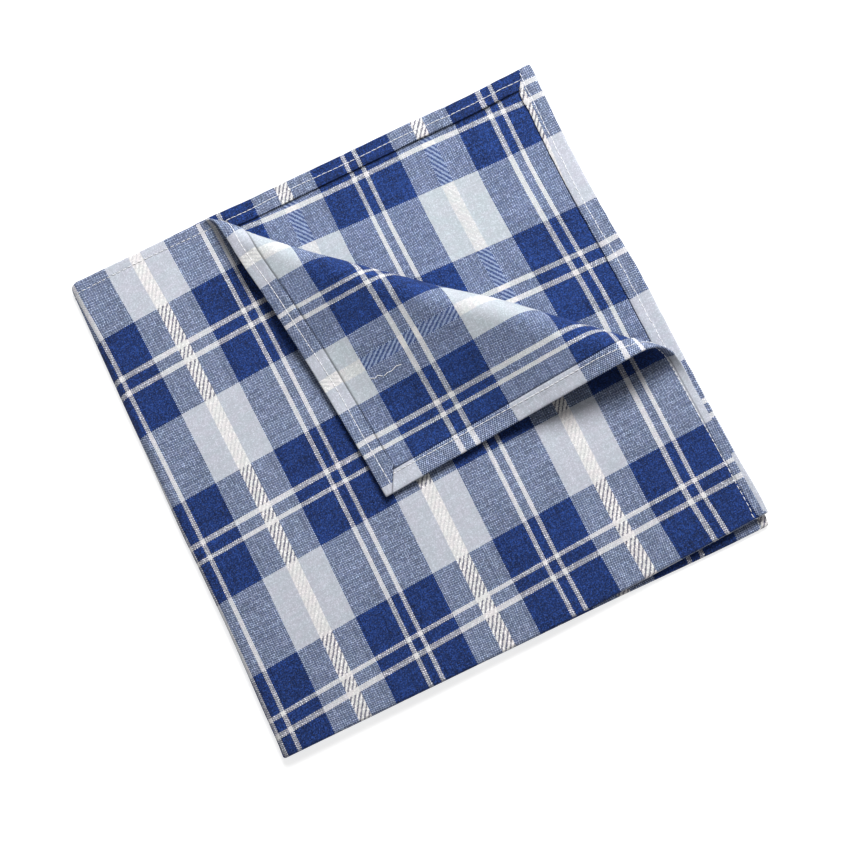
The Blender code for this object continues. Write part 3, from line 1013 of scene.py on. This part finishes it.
def cloth_material(name, yarns, is_right_side):
    """Plain woven check of single yarns, with cord lines and a dobby twill stripe.

    The random fields are kept apart by a fixed number in one of their coordinates.
    """
    material = bpy.data.materials.new(name)
    g = Graph(material)
    scale = g.node("VectorMath")
    scale.operation = "SCALE"
    g.put(scale.inputs[0], g.uv("cloth"))
    scale.inputs["Scale"].default_value = MM
    raw_a, raw_b, _ = g.split(scale.outputs[0])
    plane = g.join(raw_a, raw_b)
    a = yarn_set(g, raw_a, plane, A_STRIPE)
    b = yarn_set(g, raw_b, g.join(raw_a, raw_b, 40.0), B_STRIPE)

    # Plain weave: which yarn is on top
    parity = g.math("PINGPONG", g.add(a.index, b.index, 4000.0), 1.0)
    sign = g.add(g.times(parity, -2.0), 1.0)
    if not is_right_side:
        sign = g.times(sign, -1.0)
    height_a = g.add(g.times(sign, b.arch, ARCH), g.times(a.back, ROUND))
    height_b = g.add(g.times(sign, a.arch, -ARCH), g.times(b.back, ROUND))
    a_on_top = g.math("GREATER_THAN", height_a, height_b)
    height = g.math("MAXIMUM", height_a, height_b)
    colour = g.mix(a_on_top, yarn_colour(g, b, a, yarns), yarn_colour(g, a, b, yarns))
    dark = g.times(g.add(a.navy, b.navy), 0.5)

    # The twill stripe takes the plain weave's place in the middle of each pale band across
    twill = g.math("GREATER_THAN", a.away, A_STRIPE["period"] / 2 - TWILL_HALF)
    plain = g.add(1.0, g.times(twill, -1.0))
    twill_colour, twill_height = twill_stripe(g, a, b, yarns, is_right_side)
    colour = g.mix(twill, colour, twill_colour)
    height = g.add(g.times(height, plain), g.times(twill_height, twill))
    dark = g.times(dark, g.add(TWILL_DARK, g.times(plain, 1 - TWILL_DARK)))

    # Uneven tone, painted shade and highlight from the yarns' height, drifting hue, loose fibres,
    # and the painted shade lines of the hems
    tone = g.times(uneven_tone(g, a, b, a_on_top, plane, dark), g.ramp(height, *HEIGHT_SHADE_AND_HIGHLIGHT))
    colour = g.mix(1.0, colour, g.join(tone, tone, tone), "MULTIPLY")
    hue = g.ramp(g.noise(g.join(raw_a, g.times(raw_b, 1.6), 70.0), 0.22, 2.0), 0.36, 0.64)
    colour = g.mix(1.0, colour, g.mix(hue, *HUES), "MULTIPLY")
    fuzz = g.noise(plane, 2.2, 3.0)
    colour = g.mix(g.ramp(fuzz, 0.52, 0.80, 0.0, FUZZ_COVER), colour, FUZZ)
    # The painted shade lines of the hems darken the colour
    shaded_colour = g.mix(PAINTED_SHADE_KEEPS, (0.0, 0.0, 0.0), colour)
    colour = g.mix(hem_painted_shade(g, is_right_side), colour, shaded_colour)
    g.put(g.shader.inputs["Base Color"], colour)
    g.put(g.shader.inputs["Roughness"], g.ramp(height, *HEIGHT_ROUGHNESS))
    g.shader.inputs["Specular IOR Level"].default_value = 0.15
    g.shader.inputs["Sheen Weight"].default_value = 0.03
    g.shader.inputs["Sheen Roughness"].default_value = 0.6
    g.bump(height, WEAVE_BUMP)
    return material


def thread_material():
    material = bpy.data.materials.new("cream_sewing_thread")
    g = Graph(material)
    spot = g.node("TexCoord").outputs["Object"]
    tone = g.noise(spot, 900.0, 2.0)
    colour = g.mix(tone, (0.82, 0.82, 0.83), (0.96, 0.96, 0.97))
    g.put(g.shader.inputs["Base Color"], colour)
    g.put(g.shader.inputs["Roughness"], g.ramp(tone, 0.0, 1.0, 0.6, 0.85))
    g.bump(g.noise(spot, 3500.0, 1.0), THREAD_BUMP)
    return material


def thread_tube(points, radius, verts, faces):
    """Adds a closed tube along points of the world to the lists."""
    first = len(verts)
    count = len(points)
    for index, point in enumerate(points):
        ahead = points[min(index + 1, count - 1)] - points[max(index - 1, 0)]
        side = ahead.cross(Vector((0.13, 0.21, 1.0))).normalized()
        up = side.cross(ahead).normalized()
        taper = END_TAPER if index in (0, count - 1) else 1.0
        for step in range(STITCH_SIDES):
            angle = math.tau * step / STITCH_SIDES
            verts.append(point + (side * math.cos(angle) + up * math.sin(angle)) * radius * taper)
    for ring in range(count - 1):
        for step in range(STITCH_SIDES):
            here = first + ring * STITCH_SIDES + step
            after = first + ring * STITCH_SIDES + (step + 1) % STITCH_SIDES
            faces.append((here, after, after + STITCH_SIDES, here + STITCH_SIDES))
    faces.append(tuple(reversed(range(first, first + STITCH_SIDES))))
    last = first + (count - 1) * STITCH_SIDES
    faces.append(tuple(range(last, last + STITCH_SIDES)))


def thread_object(name, verts, faces, material):
    mesh = bpy.data.meshes.new(name)
    mesh.from_pydata(verts, [], faces)
    mesh.shade_smooth()
    mesh.materials.append(material)
    return add_object(name, mesh)


def seam_point(side_axis, side, run, inset, height, on_wrong_side):
    """World place over the hem's seam; height is above the cloth's surface."""
    if side_axis == 0:
        across, along = side * (HALF_WIDTH - inset), run
        end = HALF_LENGTH - abs(run)
    else:
        across, along = run, side * (HALF_LENGTH - inset)
        end = HALF_WIDTH - abs(run)
    across_over = across * along < 0
    is_over = across_over if side_axis == 0 else not across_over
    depth = SEAM_GROOVE * seam_groove(inset)
    if on_wrong_side:
        lift = 2 * hem_radius(end, is_over, across > 0) - depth + CLOTH / 2 + height
    else:
        lift = depth / 2 - CLOTH / 2 - height
    place = Vector(to_world(folded(across, along, lift + pucker(across, along))))
    place.z = max(place.z, THREAD_RADIUS)
    return place


def make_stitches(material):
    rng = random.Random(7)
    (wide, wide_length), (small, small_length) = SEAM_DRIFT_ROWS
    verts, faces = [], []
    for side_axis, side in ((0, 1), (0, -1), (1, 1), (1, -1)):
        half = HALF_LENGTH if side_axis == 0 else HALF_WIDTH
        run = -half + STITCH_START
        while run < half - STITCH_STOP:
            length = STITCH_LENGTH * rng.uniform(*STITCH_SPREAD)
            drift = wide * math.sin(run / wide_length + side + 2 * side_axis)
            drift += small * math.sin(run / small_length + side)
            if side_axis == 0 and side > 0:
                near = eased((NEAR_SEAM_END - run) / NEAR_SEAM_FADE)
                drift -= NEAR_SEAM_SHIFT * near * eased(run / NEAR_SEAM_START)
                drift += LOW_SEAM_SHIFT * soft_step(run, *LOW_SEAM_STEP)
            for on_wrong_side, share_seen in ((True, BACK_SHARE), (False, FACE_SHARE)):
                points = []
                start = run + (0.0 if on_wrong_side else length / 2)
                slant = rng.uniform(-STITCH_SLANT, STITCH_SLANT)
                for ring in range(STITCH_RINGS):
                    share = ring / (STITCH_RINGS - 1)
                    height = THREAD_RADIUS * (1.2 * math.sin(share * math.pi) - 0.2)
                    inset = SEAM_INSET + drift + slant * (share - 0.5)
                    place = start + length * share * share_seen
                    points.append(
                        seam_point(side_axis, side, place, inset, height, on_wrong_side)
                    )
                thread_tube(points, THREAD_RADIUS, verts, faces)
            run += length
    return thread_object("hem_stitches", verts, faces, material)


def rest_on_cloth(tree, x, y, height):
    """The place a little above the highest cloth surface at a plan place of the cloth's frame."""
    start = Vector((x + SOLID_LOW[0], y + SOLID_LOW[1], 0.1))
    hit, _, _, _ = tree.ray_cast(start, Vector((0, 0, -1)))
    return hit + Vector((0, 0, height))


def make_loose_threads(cloth, material):
    graph = bpy.context.evaluated_depsgraph_get()
    tree = BVHTree.FromObject(cloth, graph)
    verts, faces = [], []
    for places in LOOSE_THREADS:
        points = []
        for first, second in zip(places, places[1:]):
            for step in range(4):
                share = step / 4
                x = first[0] + share * (second[0] - first[0])
                y = first[1] + share * (second[1] - first[1])
                points.append(rest_on_cloth(tree, x, y, THREAD_RADIUS * 0.8))
        points.append(rest_on_cloth(tree, places[-1][0], places[-1][1], THREAD_RADIUS * 0.8))
        thread_tube(points, THREAD_RADIUS, verts, faces)
    return thread_object("catch_threads", verts, faces, material)


def camera_axes():
    back = Vector((
        math.sin(CAMERA_TILT) * math.sin(CAMERA_TURN),
        -math.sin(CAMERA_TILT) * math.cos(CAMERA_TURN),
        math.cos(CAMERA_TILT),
    ))
    right = Vector((0, 1, 0)).cross(back).normalized()
    up = back.cross(right)
    rolled_right = math.cos(CAMERA_ROLL) * right + math.sin(CAMERA_ROLL) * up
    rolled_up = -math.sin(CAMERA_ROLL) * right + math.cos(CAMERA_ROLL) * up
    return rolled_right, rolled_up, back


def make_camera():
    right, up, back = camera_axes()
    data = bpy.data.cameras.new("camera")
    data.lens = CAMERA_FOCAL
    data.sensor_width = SENSOR
    data.sensor_fit = "HORIZONTAL"
    camera = add_object("camera", data)
    target = Vector(CAMERA_TARGET) + Vector((SOLID_LOW[0], SOLID_LOW[1], 0))
    turn = Matrix((right, up, back)).transposed().to_4x4()
    camera.matrix_world = Matrix.Translation(target + back * CAMERA_DISTANCE) @ turn
    bpy.context.scene.camera = camera


def soft_light(name, toward, distance, size, power):
    """A square soft light that looks at the middle of the cloth from a direction."""
    data = bpy.data.lights.new(name, "AREA")
    data.shape = "SQUARE"
    data.size = size
    data.energy = power
    light = add_object(name, data)
    direction = Vector(toward).normalized()
    light.location = direction * distance
    light.rotation_euler = direction.to_track_quat("Z", "Y").to_euler()


def make_studio():
    scene = bpy.context.scene
    scene.view_settings.view_transform = "Standard"
    world = bpy.data.worlds.new("studio")
    world.use_nodes = True
    world.node_tree.nodes["Background"].inputs[0].default_value = (1.0, 1.0, 1.0, 1.0)
    world.node_tree.nodes["Background"].inputs[1].default_value = WORLD_LIGHT
    scene.world = world
    right, up, _ = camera_axes()
    side = up * KEY_TOWARD["up"] + right * KEY_TOWARD["right"]
    soft_light("key_light", (side.x, side.y, 1.0), KEY_DISTANCE, KEY_SIZE, KEY_POWER)
    bpy.ops.mesh.primitive_plane_add(size=FLOOR_SIZE, location=(0, 0, 0))
    floor = bpy.context.object
    floor.name = "floor"
    material = bpy.data.materials.new("pale_floor")
    g = Graph(material)
    spot = g.node("TexCoord").outputs["Object"]
    g.put(g.shader.inputs["Base Color"], g.mix(g.noise(spot, 3.0), *FLOOR_GREYS))
    g.shader.inputs["Roughness"].default_value = 0.9
    g.shader.inputs["Emission Color"].default_value = (1.0, 1.0, 1.0, 1.0)
    g.shader.inputs["Emission Strength"].default_value = FLOOR_GLOW
    floor.data.materials.append(material)


def main():
    cloth = make_cloth()
    thread = thread_material()
    stitches = make_stitches(thread)
    loose = make_loose_threads(cloth, thread)
    for piece in (cloth, stitches, loose):
        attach(piece, "root")
    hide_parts("handkerchief")
    make_camera()
    make_studio()


main()
